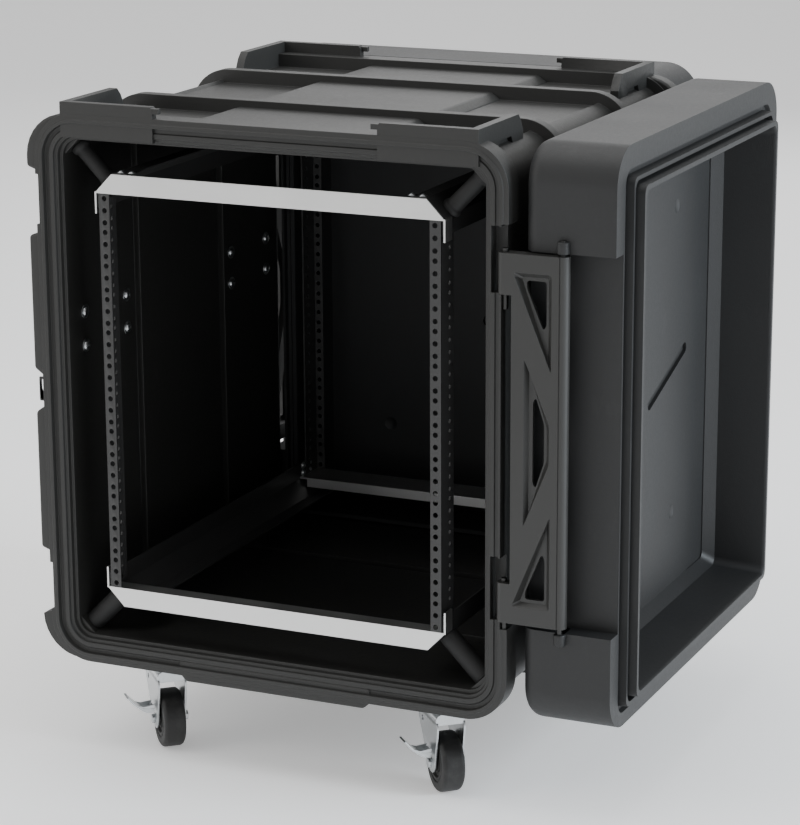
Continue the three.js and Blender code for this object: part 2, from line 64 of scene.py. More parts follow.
SHELL_INSET = 0.014
DOOR_HALF = 0.323
DOOR_DEPTH = 0.120
RECESS_LOW = RING_LOW + 0.130
RECESS_HIGH = RING_TOP - 0.131
AXIS_X = 0.326
AXIS_Y = 0.007
SPAN = 0.075
PLATE_LOW = RECESS_LOW + 0.008
PLATE_HIGH = RECESS_HIGH - 0.002
TAB_HEIGHT = 0.052
LATCH_Z = (RING_TOP - 0.115, RING_LOW + 0.101)
LOCK_Z = 0.261
HANDLE_Y = 0.112
HANDLE_Z = 0.338
RACK_INNER = 0.2254
RAIL_OUTER = 0.2406
BEAM_FACE = 0.2471
CORNER_R = 0.022
MOUNT_Y = 0.040
CASTER_X = 0.205
CASTER_Y = 0.078
TRAIL = 0.030
FORK_TOP = RING_LOW - 0.0037
AXLE_Z = FORK_TOP - 0.081
WHEEL_R = 0.040
WHEEL_HALF = 0.015


# ---- Camera ----
def camera(place, yaw, pitch, roll, lens, shift):
    data = bpy.data.cameras.new("camera")
    data.lens = lens
    data.sensor_width = 36
    data.shift_x, data.shift_y = shift
    view = bpy.data.objects.new("camera", data)
    turn = Matrix.Rotation(math.radians(yaw), 4, "Z") @ Matrix.Rotation(math.radians(90 - pitch), 4, "X")
    view.matrix_world = Matrix.Translation(place) @ turn @ Matrix.Rotation(math.radians(roll), 4, "Z")
    bpy.context.scene.collection.objects.link(view)
    bpy.context.scene.camera = view


camera(ORIGIN + Vector((1.630, -3.213, 1.218)), 23.8, 15.4, -0.19, 126.8, (-0.023, 0.036))


# ---- Finishes ----
class Value:
    """A socket that can stand in a sum."""

    def __init__(self, finish, socket):
        self.finish = finish
        self.socket = socket

    def sum(self, operation, first, second):
        return self.finish.node("ShaderNodeMath", {"operation": operation}, {0: first, 1: second})

    def __add__(self, other):
        return self.sum("ADD", self, other)

    __radd__ = __add__

    def __sub__(self, other):
        return self.sum("SUBTRACT", self, other)

    def __rsub__(self, other):
        return self.sum("SUBTRACT", other, self)

    def __mul__(self, other):
        return self.sum("MULTIPLY", self, other)

    __rmul__ = __mul__


class Finish:
    """One material while its nodes are laid out."""

    def __init__(self, name):
        self.material = bpy.data.materials.new(name)
        self.material.use_nodes = True
        self.tree = self.material.node_tree
        self.tree.nodes.clear()

    def node(self, kind, settings, sockets, out=0):
        made = self.tree.nodes.new(kind)
        for key, value in settings.items():
            setattr(made, key, value)
        for key, value in sockets.items():
            if isinstance(value, Value):
                self.tree.links.new(value.socket, made.inputs[key])
            else:
                made.inputs[key].default_value = value
        return Value(self, made.outputs[out])

    def place(self):
        return self.node("ShaderNodeTexCoord", {}, {}, "Object")

    def noise(self, scale, detail=2.0, roughness=0.5, stretch=None):
        where = self.place()
        if stretch:
            where = self.node("ShaderNodeMapping", {}, {"Vector": where, "Scale": stretch})
        sockets = {"Vector": where, "Scale": scale, "Detail": detail, "Roughness": roughness}
        return self.node("ShaderNodeTexNoise", {}, sockets, "Fac")

    def between(self, value, low, high):
        """0 below low and 1 above high, straight between."""
        return self.node("ShaderNodeMapRange", {"clamp": True}, {"Value": value, "From Min": low, "From Max": high})

    def tint(self, mask, low, high):
        return self.node("ShaderNodeMix", {"data_type": "RGBA"}, {0: mask, 6: (*low, 1), 7: (*high, 1)}, 2)

    def bump(self, height, distance, strength=1.0, under=None):
        sockets = {"Height": height, "Distance": distance, "Strength": strength}
        if under:
            sockets["Normal"] = under
        return self.node("ShaderNodeBump", {}, sockets, "Normal")

    def done(self, **sockets):
        names = {key.replace("_", " ").title(): value for key, value in sockets.items()}
        shader = self.node("ShaderNodeBsdfPrincipled", {}, names, "BSDF")
        end = self.tree.nodes.new("ShaderNodeOutputMaterial")
        self.tree.links.new(shader.socket, end.inputs["Surface"])
        return self.material


def moulded_plastic(name, low, high, rough, grain_scale, grain_depth):
    """Pebbled skin of a moulded part, with a slow wander of tone and a few rubbed patches."""
    f = Finish(name)
    cloud = f.noise(6.5, 4)
    grain = f.noise(grain_scale, 3, 0.6)
    pores = f.noise(grain_scale * 0.31, 2)
    rubbed = f.between(f.noise(31, 6, 0.7, (1, 1, 0.45)), 0.60, 0.74)
    colour = f.tint(cloud * 0.6 + rubbed * 0.35, low, high)
    roughness = rough + (cloud - 0.5) * 0.10 + (pores - 0.5) * 0.10 - rubbed * 0.05
    normal = f.bump(grain * 0.7 + pores * 0.5, grain_depth)
    normal = f.bump(f.noise(9, 1), 0.0022, 0.35, normal)
    return f.done(base_color=colour, roughness=roughness, normal=normal)


def coated_steel(name, low, high, rough):
    f = Finish(name)
    orange_peel = f.noise(420, 2)
    cloud = f.noise(18, 3)
    return f.done(base_color=f.tint(cloud, low, high), roughness=rough + (cloud - 0.5) * 0.12,
                  normal=f.bump(orange_peel, 0.00012))


def bare_metal(name, low, high, rough, stretch, depth=0.00004):
    """Drawn or rolled metal: fine lines one way, and clouds of handling marks."""
    f = Finish(name)
    lines = f.noise(55, 4, 0.6, stretch)
    cloud = f.noise(14, 4)
    return f.done(base_color=f.tint(cloud * 0.7 + lines * 0.3, low, high), metallic=1.0,
                  roughness=rough + (lines - 0.5) * 0.16 + (cloud - 0.5) * 0.14, normal=f.bump(lines, depth))


def zinc_plate(name):
    """Bright zinc: patchy crystals under a thin clear passivation."""
    f = Finish(name)
    spangle = f.node("ShaderNodeTexVoronoi", {}, {"Vector": f.place(), "Scale": 260.0}, "Distance")
    cloud = f.noise(30, 4)
    return f.done(base_color=f.tint(cloud * 0.8 + spangle * 0.2, (0.44, 0.46, 0.47), (0.74, 0.76, 0.77)),
                  metallic=1.0, roughness=0.30 + (cloud - 0.5) * 0.2 + spangle * 0.05,
                  normal=f.bump(cloud, 0.0002, 0.4))


def soft_rubber(name, low, high, rough):
    f = Finish(name)
    dust = f.between(f.noise(60, 5, 0.65), 0.45, 0.8)
    skin = f.noise(800, 2)
    return f.done(base_color=f.tint(dust, low, high), roughness=rough + dust * 0.1, normal=f.bump(skin, 0.00008))


def pale_floor():
    f = Finish("studio_floor")
    haze = f.noise(0.8, 2)
    return f.done(base_color=f.tint(haze, (0.93, 0.93, 0.93), (0.95, 0.95, 0.95)), roughness=0.9,
                  emission_color=(1, 1, 1, 1), emission_strength=0.35)


def grey(shade):
    return shade, shade, shade


FINISHES = {
    "case_shell": moulded_plastic("black_moulded_shell", (0.016, 0.016, 0.015), (0.029, 0.029, 0.0275),
                                  0.50, 620, 0.00022),
    # Painted shade: the door is the shell's plastic, made darker and bluer to carry the shade and the cool side light
    # on it.
    "door_shell": moulded_plastic("black_moulded_door_painted_shade", (0.010, 0.0104, 0.0107), (0.020, 0.0208, 0.0215),
                                  0.56, 560, 0.00022),
    "hinge_plastic": moulded_plastic("black_hinge_nylon", (0.020, 0.020, 0.019), (0.034, 0.034, 0.032),
                                     0.42, 1400, 0.00006),
    "grip_rubber": soft_rubber("grip_rubber", grey(0.010), grey(0.030), 0.6),
    "handle_black": coated_steel("black_coated_handle", grey(0.010), grey(0.018), 0.38),
    "rail_paint": coated_steel("black_coated_rail", grey(0.024), grey(0.036), 0.42),
    "bare_aluminium": bare_metal("mill_aluminium", (0.66, 0.66, 0.65), (0.82, 0.82, 0.81), 0.38, (0.06, 1, 1)),
    "zinc_steel": zinc_plate("zinc_plated_steel"),
    "mount_rubber": soft_rubber("mount_rubber", grey(0.008), grey(0.02), 0.65),
    "wheel_rubber": soft_rubber("wheel_rubber", grey(0.010), (0.035, 0.035, 0.034), 0.55),
    # Painted shade: the bright steel pins are made near black so they sit in the shade of the hinge gap.
    "steel_pin": bare_metal("steel_rod_painted_shade", grey(0.035), (0.075, 0.075, 0.073), 0.36, (1, 1, 0.1)),
    "lock_black": coated_steel("black_coated_wire", grey(0.008), grey(0.014), 0.35),
}


# ---- Hand tools ----
def alone(piece):
    bpy.ops.object.select_all(action="DESELECT")
    piece.select_set(True)
    bpy.context.view_layer.objects.active = piece


def named(name):
    piece = bpy.context.active_object
    piece.name = name
    piece.data.name = name
    return piece


def open_edit(piece, kind):
    alone(piece)
    bpy.ops.object.mode_set(mode="EDIT")
    bpy.ops.mesh.select_mode(type=kind)
    bpy.ops.mesh.select_all(action="DESELECT")


def close_edit():
    bpy.ops.object.mode_set(mode="OBJECT")


def pick(test):
    """Selects just the faces or edges that pass a test."""
    piece = bpy.context.active_object
    mesh = bmesh.from_edit_mesh(piece.data)
    faces = bpy.context.tool_settings.mesh_select_mode[2]
    for item in mesh.faces if faces else mesh.edges:
        item.select_set(False)
    for item in mesh.faces if faces else mesh.edges:
        if test(item):
            item.select_set(True)
    mesh.select_flush_mode()
    bmesh.update_edit_mesh(piece.data)


def along(edge):
    return (edge.verts[1].co - edge.verts[0].co).normalized()


def block(name, low, high):
    """A box between two corners, to be worked on."""
    low, high = Vector(low), Vector(high)
    bpy.ops.object.select_all(action="DESELECT")
    bpy.ops.mesh.primitive_cube_add(size=1, location=(low + high) / 2)
    piece = named(name)
    piece.scale = [abs(v) for v in high - low]
    bpy.ops.object.transform_apply(location=True, rotation=True, scale=True)
    return piece


def round_edges(piece, axis, radius, segments=8, test=lambda edge: True):
    """Rounds the edges that run along an axis."""
    open_edit(piece, "EDGE")
    pick(lambda e: abs(along(e)[axis]) > 0.99 and test(e))
    bpy.ops.mesh.bevel(offset=radius, segments=segments, affect="EDGES", profile=0.5)
    close_edit()
    return piece


def slab(name, outline, axis, low, high):
    """An outline pushed along an axis. The outline runs in the two other axes, in order."""
    bpy.ops.object.select_all(action="DESELECT")
    bpy.ops.mesh.primitive_circle_add(vertices=len(outline), radius=1, fill_type="NGON")
    piece = named(name)
    for vertex, (a, b) in zip(piece.data.vertices, outline):
        vertex.co = Vector({0: (low, a, b), 1: (a, low, b), 2: (a, b, low)}[axis])
    move = [0, 0, 0]
    move[axis] = high - low
    open_edit(piece, "FACE")
    bpy.ops.mesh.select_all(action="SELECT")
    bpy.ops.mesh.extrude_region_move(TRANSFORM_OT_translate={"value": move})
    bpy.ops.mesh.select_all(action="SELECT")
    bpy.ops.mesh.normals_make_consistent(inside=False)
    close_edit()
    return piece


def rod(name, centre, axis, radius, length, sides=24):
    """A round bar centred on a point, along an axis."""
    turn = {0: (0, math.pi / 2, 0), 1: (math.pi / 2, 0, 0), 2: (0, 0, 0)}[axis]
    bpy.ops.object.select_all(action="DESELECT")
    bpy.ops.mesh.primitive_cylinder_add(vertices=sides, radius=radius, depth=length, location=centre, rotation=turn)
    piece = named(name)
    bpy.ops.object.transform_apply(location=True, rotation=True, scale=True)
    return piece


def joined(name, pieces):
    bpy.ops.object.select_all(action="DESELECT")
    for piece in pieces:
        piece.select_set(True)
    bpy.context.view_layer.objects.active = pieces[0]
    if len(pieces) > 1:
        bpy.ops.object.join()
    return named(name)


def apply_modifier(piece, kind, **settings):
    alone(piece)
    modifier = piece.modifiers.new(kind.lower(), kind)
    for key, value in settings.items():
        setattr(modifier, key, value)
    bpy.ops.object.modifier_apply(modifier=modifier.name)


def cut(piece, cutters):
    """Takes the cutters out of a piece."""
    tool = joined("cutter", cutters)
    apply_modifier(piece, "BOOLEAN", operation="DIFFERENCE", object=tool, solver="EXACT", use_self=True)
    bpy.data.objects.remove(tool)
    return piece


def soften(piece, width, segments=3, limit=30):
    """Rolls every sharp edge and evens the shading of the flats."""
    apply_modifier(piece, "BEVEL", width=width, segments=segments, limit_method="ANGLE",
                   angle_limit=math.radians(limit), use_clamp_overlap=True, miter_outer="MITER_ARC")
    smooth(piece)
    return piece


def smooth(piece, angle=40):
    alone(piece)
    bpy.ops.object.shade_smooth_by_angle(angle=math.radians(angle))
    apply_modifier(piece, "WEIGHTED_NORMAL", keep_sharp=True, weight=60)


def finished(piece, body, slot, replaces=(), moves=None):
    """Puts a piece in its place on the model, with its body and finish."""
    piece.data.transform(Matrix.Translation(ORIGIN) @ (moves or Matrix.Identity(4)))
    piece.data.materials.clear()
    piece.data.materials.append(FINISHES[slot])
    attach(piece, body)
    if replaces:
        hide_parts(*replaces)
    return piece


def copy_of(piece, name, matrix):
    """Another of the same, moved, with a mesh of its own."""
    other = bpy.data.objects.new(name, piece.data.copy())
    other.data.name = name
    bpy.context.scene.collection.objects.link(other)
    other.data.transform(matrix)
    if matrix.determinant() < 0:
        other.data.flip_normals()
    return other


def rounded_copy(node, width, segments=2, weld=0.00001):
    """A CAD piece with its edges rolled, in the drawing's own axes."""
    piece = copy_of(frame["nodes"][node], f"{node}_fine", Matrix.Translation(-ORIGIN))
    open_edit(piece, "FACE")
    bpy.ops.mesh.select_all(action="SELECT")
    bpy.ops.mesh.remove_doubles(threshold=weld)
    bpy.ops.mesh.dissolve_limited(angle_limit=math.radians(1))
    close_edit()
    return soften(piece, width, segments)


MIRROR_X = Matrix.Scale(-1, 4, (1, 0, 0))
MIRROR_Y = Matrix.Translation((0, DEPTH, 0)) @ Matrix.Scale(-1, 4, (0, 1, 0))
HALF_TURN = Matrix.Translation((0, DEPTH, 0)) @ Matrix.Rotation(math.pi, 4, "Z")
CORNERS = {"right_front": Matrix.Identity(4), "left_front": MIRROR_X, "right_rear": MIRROR_Y,
           "left_rear": HALF_TURN}


def four_corners(first):
    """A piece drawn at the front right, and its three copies in the other corners."""
    return [first] + [copy_of(first, first.name, m) for key, m in CORNERS.items() if key != "right_front"]


def both_ends(make):
    """What is at the front is also at the back, half a turn round."""
    front = make()
    return [front, copy_of(front, front.name + "_back", HALF_TURN)]


def about(x, y, degrees):
    turn = Matrix.Rotation(math.radians(degrees), 4, "Z")
    return Matrix.Translation((x, y, 0)) @ turn @ Matrix.Translation((-x, -y, 0))


FOLDED = about(AXIS_X + SPAN, AXIS_Y, 180) @ about(AXIS_X, AXIS_Y, 90)


# ---- Case shell ----
def inset_face(thickness, depth=0.0):
    bpy.ops.mesh.inset(thickness=thickness, depth=depth, use_even_offset=True)


RIM_STEPS = ((0.0065, 0), (0.001, 0.0015), (0.0045, 0), (0.001, -0.0065), (0.0055, 0), (0.0008, 0.002),
             (0.0065, 0), (0.0012, -0.004), (0.0035, 0), (0.0012, -0.006), (0.0035, 0), (0.0008, -0.006))


def case_shell():
    """The ring, its bead and groove, the tunnel behind it and the ribs between the set-back walls."""
    shell = block("case_shell", (-RING_HALF, 0.0015, RING_LOW), (RING_HALF, DEPTH - 0.0015, RING_TOP))
    round_edges(shell, 1, RING_CORNER, 14)
    for out in (-1, 1):
        open_edit(shell, "FACE")
        pick(lambda f: f.normal.y * out > 0.99)
        for thickness, depth in RIM_STEPS:
            inset_face(thickness, depth)
        bpy.ops.mesh.delete(type="ONLY_FACE")
        close_edit()
    open_edit(shell, "EDGE")
    pick(lambda e: len(e.link_faces) == 1)
    bpy.ops.mesh.bridge_edge_loops()
    for y in (RING_WIDTH, *RIBS, DEPTH - RING_WIDTH):
        bpy.ops.mesh.select_all(action="SELECT")
        bpy.ops.mesh.bisect(plane_co=(0, y, 0), plane_no=(0, 1, 0))
    bpy.ops.mesh.select_mode(type="FACE")
    inner = RING_HALF - RING_FACE + 0.004

    def band(face, low, high, outer):
        c = face.calc_center_median()
        beyond = abs(c.x) > inner or c.z > RING_TOP - RING_FACE + 0.004 or c.z < RING_LOW + RING_FACE - 0.004
        return abs(face.normal.y) < 0.01 and beyond == outer and low < c.y < high

    for low, high in ((RING_WIDTH, RIBS[0]), (RIBS[1], RIBS[2]), (RIBS[3], DEPTH - RING_WIDTH)):
        pick(lambda f: band(f, low, high, True))
        bpy.ops.mesh.extrude_region_shrink_fatten(TRANSFORM_OT_shrink_fatten={"value": -SHELL_INSET})
        pick(lambda f: band(f, low, high, True) and f.normal.z > 0.99)
        bpy.ops.transform.translate(value=(0, 0, -0.005))
    for low, high in ((RIBS[0], RIBS[1]), (RIBS[2], RIBS[3])):
        pick(lambda f: band(f, low, high, False))
        bpy.ops.mesh.extrude_region_shrink_fatten(TRANSFORM_OT_shrink_fatten={"value": -0.009})
    bpy.ops.mesh.select_all(action="SELECT")
    bpy.ops.mesh.normals_make_consistent(inside=False)
    close_edit()
    return shell


def shell_cutters():
    """Seats for the latches, recesses for the hinge and its tabs, and a pocket behind each handle."""
    beyond = RING_HALF + 0.01
    pieces = []
    for z in LATCH_Z:
        pieces += both_ends(lambda: block("latch_seat", (-RING_HALF - 0.02, -0.001, z - 0.033),
                                          (-RING_HALF + 0.004, 0.060, z + 0.033)))
    pieces += both_ends(lambda: block("hinge_side", (DOOR_HALF, -0.001, RECESS_LOW - 0.002),
                                      (beyond, 0.035, PLATE_HIGH + 0.034)))
    for z in (PLATE_LOW, PLATE_HIGH - TAB_HEIGHT):
        pieces += both_ends(lambda: block("tab_notch", (0.308, -0.001, z), (beyond, 0.022, z + TAB_HEIGHT + 0.031)))
    for side in (-1, 1):
        for y in (HANDLE_Y, DEPTH - HANDLE_Y):
            pieces.append(block("handle_pocket", (side * 0.308, y - 0.068, HANDLE_Z - 0.052),
                                (side * 0.33, y + 0.068, HANDLE_Z + 0.052)))
    return pieces


shell = cut(case_shell(), shell_cutters())
soften(shell, 0.003, 3, 28)
finished(shell, "case", "case_shell", ("case_body",))


def pushed(name, width, outline, axis, low, high, segments=3):
    return soften(slab(name, outline, axis, low, high), width, segments)


def corner_wall():
    """Two arms of a raised wall, with their free ends run out and a pocket in the outer flank."""
    out, inn, run, t = RING_HALF - 0.040, 0.157, 0.148, 0.012
    low, high = RING_TOP - 0.031, RING_TOP + 0.015
    front_outline = [(inn, low), (out, low), (out, high), (inn + 0.003, high), (inn, high - 0.004)]
    front = slab("roof_wall", front_outline, 1, 0.002, 0.002 + t)
    side_outline = [(0.0025, low), (run, low), (run, high - 0.022), (run - 0.007, high - 0.009), (run - 0.016, high),
                    (0.0025, high)]
    side = slab("roof_wall", side_outline, 0, out - t, out)
    pocket_outline = [(0.060, high - 0.042), (0.118, high - 0.042), (0.108, high - 0.024), (0.070, high - 0.024)]
    cut(side, [slab("flank_pocket", pocket_outline, 0, out - 0.006, out + 0.01)])
    hook = block("roof_wall", (inn - 0.009, 0.0024, high - 0.0085), (inn + 0.005, 0.0092, high - 0.0018))
    for arm in (side, hook):
        apply_modifier(front, "BOOLEAN", operation="UNION", object=arm, solver="EXACT")
        bpy.data.objects.remove(arm)
    return soften(front, 0.0022, 3, 28)


def on_case(pieces, name, slot="case_shell"):
    return finished(joined(name, pieces), "case", slot)


on_case(four_corners(corner_wall()), "roof_walls")

roof = RING_TOP - 0.019
pad_outline = [(-0.144, roof - 0.012), (0.144, roof - 0.012), (0.144, roof), (0.130, roof + 0.010),
               (-0.130, roof + 0.010), (-0.144, roof)]
on_case([pushed("roof_pad", 0.003, pad_outline, 1, 0.020, DEPTH - 0.020)], "roof_pad")
skid_outline = [(-0.140, RING_LOW + 0.020), (-0.140, RING_LOW + 0.001), (-0.130, RING_LOW - 0.009),
                (0.130, RING_LOW - 0.009), (0.140, RING_LOW + 0.001), (0.140, RING_LOW + 0.020)]
on_case([pushed("floor_skid", 0.003, skid_outline, 1, 0.004, DEPTH - 0.004)], "floor_skid")

caster_seat = block("caster_seat", (0.153, 0.020, RING_LOW), (0.257, 0.128, RING_LOW + 0.020))
on_case(four_corners(soften(caster_seat, 0.002)), "caster_seats")


def guard(outline):
    return pushed("edge_guard", 0.004, outline, 1, 0.005, RING_WIDTH - 0.002, 4)


def flat_guard(z0, z1, z2, z3):
    inner, outer = 0.002 - RING_HALF, -RING_HALF - 0.015
    return guard([(inner, z0), (outer, z1), (outer, z2), (inner, z3)])


def corner_guard(up, z0, z1):
    """A guard that swells out of the round corner of the ring. Up is 1 at the top and -1 at the bottom."""
    centre_x = -RING_HALF + RING_CORNER
    centre_z = RING_TOP - RING_CORNER if up > 0 else RING_LOW + RING_CORNER
    swell = [(180 - step * 9, 0.073 - 0.0145 * (step / 8) ** 1.6) for step in range(9)]
    back = [(degrees, 0.052) for degrees in (115, 135, 155, 175)]
    outline = [(0.002 - RING_HALF, z0), (-RING_HALF - 0.015, z1)]
    for degrees, r in swell + back:
        a = math.radians(degrees)
        outline.append((centre_x + r * math.cos(a), centre_z + up * r * math.sin(a)))
    return guard(outline)


high_z, low_z = LATCH_Z
guards = both_ends(lambda: corner_guard(1, high_z + 0.036, high_z + 0.042))
guards += both_ends(lambda: corner_guard(-1, low_z - 0.036, low_z - 0.042))
for levels in ((LOCK_Z + 0.018, LOCK_Z + 0.030, high_z - 0.050, high_z - 0.044),
               (low_z + 0.046, low_z + 0.052, LOCK_Z - 0.030, LOCK_Z - 0.018)):
    guards += both_ends(lambda: flat_guard(*levels))
on_case(guards, "edge_guards")
bosses = []
for z in LATCH_Z:
    bosses += both_ends(lambda: soften(block("latch_boss", (-RING_HALF + 0.004, 0.033, z - 0.042),
                                             (-0.310, 0.112, z + 0.042)), 0.003))
on_case(bosses, "latch_bosses")


# ---- Doors ----
RIM_INSETS = ((0.030, 0), (0.002, -0.006), (0.006, 0))
TRAY_STEPS = ((0.001, 0.014), (0.005, 0), (0.001, -0.012), (0.004, 0), (0.001, 0.022), (0.006, 0),
              (0.002, -0.004), (0.006, -0.068), (0.012, -0.016))
RIM_DROP = 0.012


def lower_edge(level, drop):
    """Moves the lower half of the picked face down, so that the frame is thinner at the bottom."""
    mesh = bmesh.from_edit_mesh(bpy.context.active_object.data)
    for vertex in mesh.verts:
        if vertex.select and vertex.co.z < level:
            vertex.co.z -= drop
    bmesh.update_edit_mesh(bpy.context.active_object.data)


def dimple(x, y, z):
    """A ball that leaves a shallow dish where the two skins of a door are pinched together."""
    bpy.ops.object.select_all(action="DESELECT")
    bpy.ops.mesh.primitive_uv_sphere_add(segments=32, ring_count=24, radius=0.022, location=(x, y, z))
    bpy.ops.object.transform_apply(location=True, rotation=True, scale=True)
    return named("dimple")


def door_shell():
    """A deep lid: rolled outer edges, a flat rim, two standing ridges and a tray, with the hinge recess cut in."""
    d = -DOOR_DEPTH - 0.001
    half, height, centre = DOOR_HALF, (RING_TOP - RING_LOW) / 2, (RING_TOP + RING_LOW) / 2
    door = block("door", (-half, d, RING_LOW), (half, -0.001, RING_TOP))
    round_edges(door, 1, 0.050, 12)
    open_edit(door, "EDGE")
    pick(lambda e: abs(e.verts[0].co.y - d) < 1e-5 and abs(e.verts[1].co.y - d) < 1e-5)
    bpy.ops.mesh.bevel(offset=0.019, segments=7, affect="EDGES", profile=0.5)
    bpy.ops.mesh.select_mode(type="FACE")
    pick(lambda f: f.normal.y > 0.99)
    y = -0.001
    for thickness, depth in RIM_INSETS:
        inset_face(thickness, depth)
        y, half, height = y + depth, half - thickness, height - thickness
        if y == -0.001:
            lower_edge(centre, RIM_DROP)
            height, centre = height + RIM_DROP / 2, centre - RIM_DROP / 2
    for thickness, depth in TRAY_STEPS:
        bpy.ops.mesh.extrude_region_move(TRANSFORM_OT_translate={"value": (0, depth, 0)})
        y += depth
        bpy.ops.transform.resize(value=((half - thickness) / half, 1, (height - thickness) / height),
                                 center_override=(0, y, centre))
        half, height = half - thickness, height - thickness
    bpy.ops.mesh.select_all(action="SELECT")
    bpy.ops.mesh.normals_make_consistent(inside=False)
    close_edit()
    side = DOOR_HALF - 0.026
    cutters = [block("hinge_recess", (side, d - 0.01, RECESS_LOW), (DOOR_HALF + 0.01, 0.003, RECESS_HIGH))]
    for z in LATCH_Z:
        cutters.append(block("latch_notch", (-DOOR_HALF - 0.01, -0.044, z - 0.022),
                             (-DOOR_HALF + 0.007, 0.003, z + 0.022)))
    cutters.append(block("panel_step", (-half - 0.0004, y - 0.0012, centre - height - 0.0004),
                         (-0.182, y + 0.0008, centre + height + 0.0004)))
    for across, up in ((-0.108, 0.488), (-0.108, 0.060), (0.150, 0.488), (0.150, 0.060)):
        cutters += [dimple(across, y + 0.0194, up), dimple(across, d - 0.0194, up)]
    slot_outline = [(-0.006, 0.226), (-0.001, 0.240), (-0.156, 0.292), (-0.161, 0.278)]
    cutters.append(round_edges(slab("plain_slot", slot_outline, 1, y - 0.005, y + 0.01), 1, 0.0070, 6))
    cut(door, cutters)
    soften(door, 0.0016, 3, 28)
    lugs = []
    for low, high in ((RECESS_LOW - 0.016, RECESS_LOW), (RECESS_HIGH, RECESS_HIGH + 0.016)):
        lug = round_edges(block("rod_lug", (side, -0.0755, low), (AXIS_X + 0.0065, -0.0605, high)), 2, 0.006, 5)
        lugs.append(soften(lug, 0.002, 3))
    return joined("door", [door] + lugs)


door = door_shell()
finished(copy_of(door, "rear_door_shell", HALF_TURN), "rear_door", "door_shell", ("rear_door",))
door.name = "front_door_shell"
finished(door, "front_door", "door_shell", ("front_door",), FOLDED)


# ---- Hinge plates ----
POCKETS = (((0.002, 0.023), (0.053, 0.023), (0.053, 0.146)),
           ((0.017, 0.128), (0.051, 0.212), (0.051, 0.262), (0.017, 0.346)),
           ((0.053, 0.328), (0.053, 0.451), (0.002, 0.451)))
HOLES_THROUGH = (((0.018, 0.033), (0.044, 0.033), (0.044, 0.088), (0.040, 0.094), (0.0185, 0.043)),
                 ((0.027, 0.185), (0.031, 0.179), (0.042, 0.212), (0.042, 0.262), (0.031, 0.295), (0.027, 0.289)),
                 ((0.018, 0.441), (0.0185, 0.431), (0.040, 0.380), (0.044, 0.386), (0.044, 0.441)))


def hinge_plate():
    """A flat truss with two tabs at the case and a barrel at the door. Pocket walls slope in to the holes."""
    left, right = AXIS_X + 0.011, AXIS_X + SPAN
    y0, y1 = AXIS_Y - 0.009, AXIS_Y + 0.009
    tab = AXIS_X - 0.009
    outline = [(tab, PLATE_LOW), (right + 0.009, PLATE_LOW), (right + 0.009, PLATE_HIGH), (tab, PLATE_HIGH),
               (tab, PLATE_HIGH - TAB_HEIGHT), (left, PLATE_HIGH - TAB_HEIGHT), (left, PLATE_LOW + TAB_HEIGHT),
               (tab, PLATE_LOW + TAB_HEIGHT)]
    plate = slab("hinge_plate", outline, 1, y0, y1)
    ends = (tab, right + 0.009)
    round_edges(plate, 2, 0.0085, 8, lambda e: min(abs(e.verts[0].co.x - x) for x in ends) < 0.0001)
    cutters = []
    for pocket, hole in zip(POCKETS, HOLES_THROUGH):
        pocket = [(left + a, PLATE_HIGH - b) for a, b in pocket]
        hole = [(left + a, PLATE_HIGH - b) for a, b in hole]
        middle_x = sum(a for a, b in hole) / len(hole)
        middle_z = sum(b for a, b in hole) / len(hole)
        for face, floor in ((y0, y0 + 0.0065), (y1, y1 - 0.0065)):
            funnel = round_edges(slab("pocket", pocket, 1, face, floor), 1, 0.004, 4)
            open_edit(funnel, "FACE")
            pick(lambda f: abs(f.calc_center_median().y - floor) < 0.0001)
            bpy.ops.transform.resize(value=(0.70, 1, 0.84), center_override=(middle_x, floor, middle_z))
            pick(lambda f: abs(f.calc_center_median().y - face) < 0.0001)
            bpy.ops.mesh.extrude_region_move(TRANSFORM_OT_translate={"value": (0, (face - floor) * 0.3, 0)})
            close_edit()
            cutters.append(funnel)
        cutters.append(round_edges(slab("hole", hole, 1, y0 - 0.01, y1 + 0.01), 1, 0.0035, 4))
    for face in (y0, y1):
        cutters.append(block("barrel_groove", (right - 0.0015, face - 0.0012, PLATE_LOW - 0.01),
                             (right, face + 0.0012, PLATE_HIGH + 0.01)))
    for cutter in cutters:
        cut(plate, [cutter])
    return soften(plate, 0.0012, 3, 25)


plate = hinge_plate()
rear_plate = copy_of(plate, "rear_hinge_plate_fine", HALF_TURN @ about(AXIS_X, AXIS_Y, -90))
finished(rear_plate, "rear_plate", "hinge_plastic", ("rear_hinge_plate",))
plate.name = "front_hinge_plate_fine"
finished(plate, "front_plate", "hinge_plastic", ("front_hinge_plate",))


# ---- Rack frame ----
UNITS = 12
HOLES = (0.00635, 0.022225, 0.0381)


def spread(first, shifts):
    return [first] + [copy_of(first, first.name, Matrix.Translation(shift)) for shift in shifts]


def hole_column(first):
    """A cutter at every hole of a rail, from the one at the lowest hole."""
    levels = [unit * RACK_TOP / UNITS + hole - HOLES[0] for unit in range(UNITS) for hole in HOLES]
    return spread(first, [(0, 0, level) for level in levels[1:]])


def rack_rail():
    """A folded strip: the drilled face that equipment bolts to, and the flank behind it with its own row of holes."""
    y = 0.006
    face = block("rack_rail", (RACK_INNER, y, GAP), (RAIL_OUTER, y + 0.0025, RACK_TOP - GAP))
    flank = block("rack_rail", (RAIL_OUTER - 0.0025, y + 0.0003, GAP), (RAIL_OUTER, y + 0.040, RACK_TOP - GAP))
    cut(face, hole_column(rod("hole", (0.23255, y, HOLES[0]), 1, 0.0034, 0.012, 20)))
    cut(flank, hole_column(rod("hole", (RAIL_OUTER, y + 0.027, HOLES[0]), 0, 0.0030, 0.012, 16)))
    for piece in (face, flank):
        soften(piece, 0.0004, 2)
    return joined("rack_rail", [face, flank])


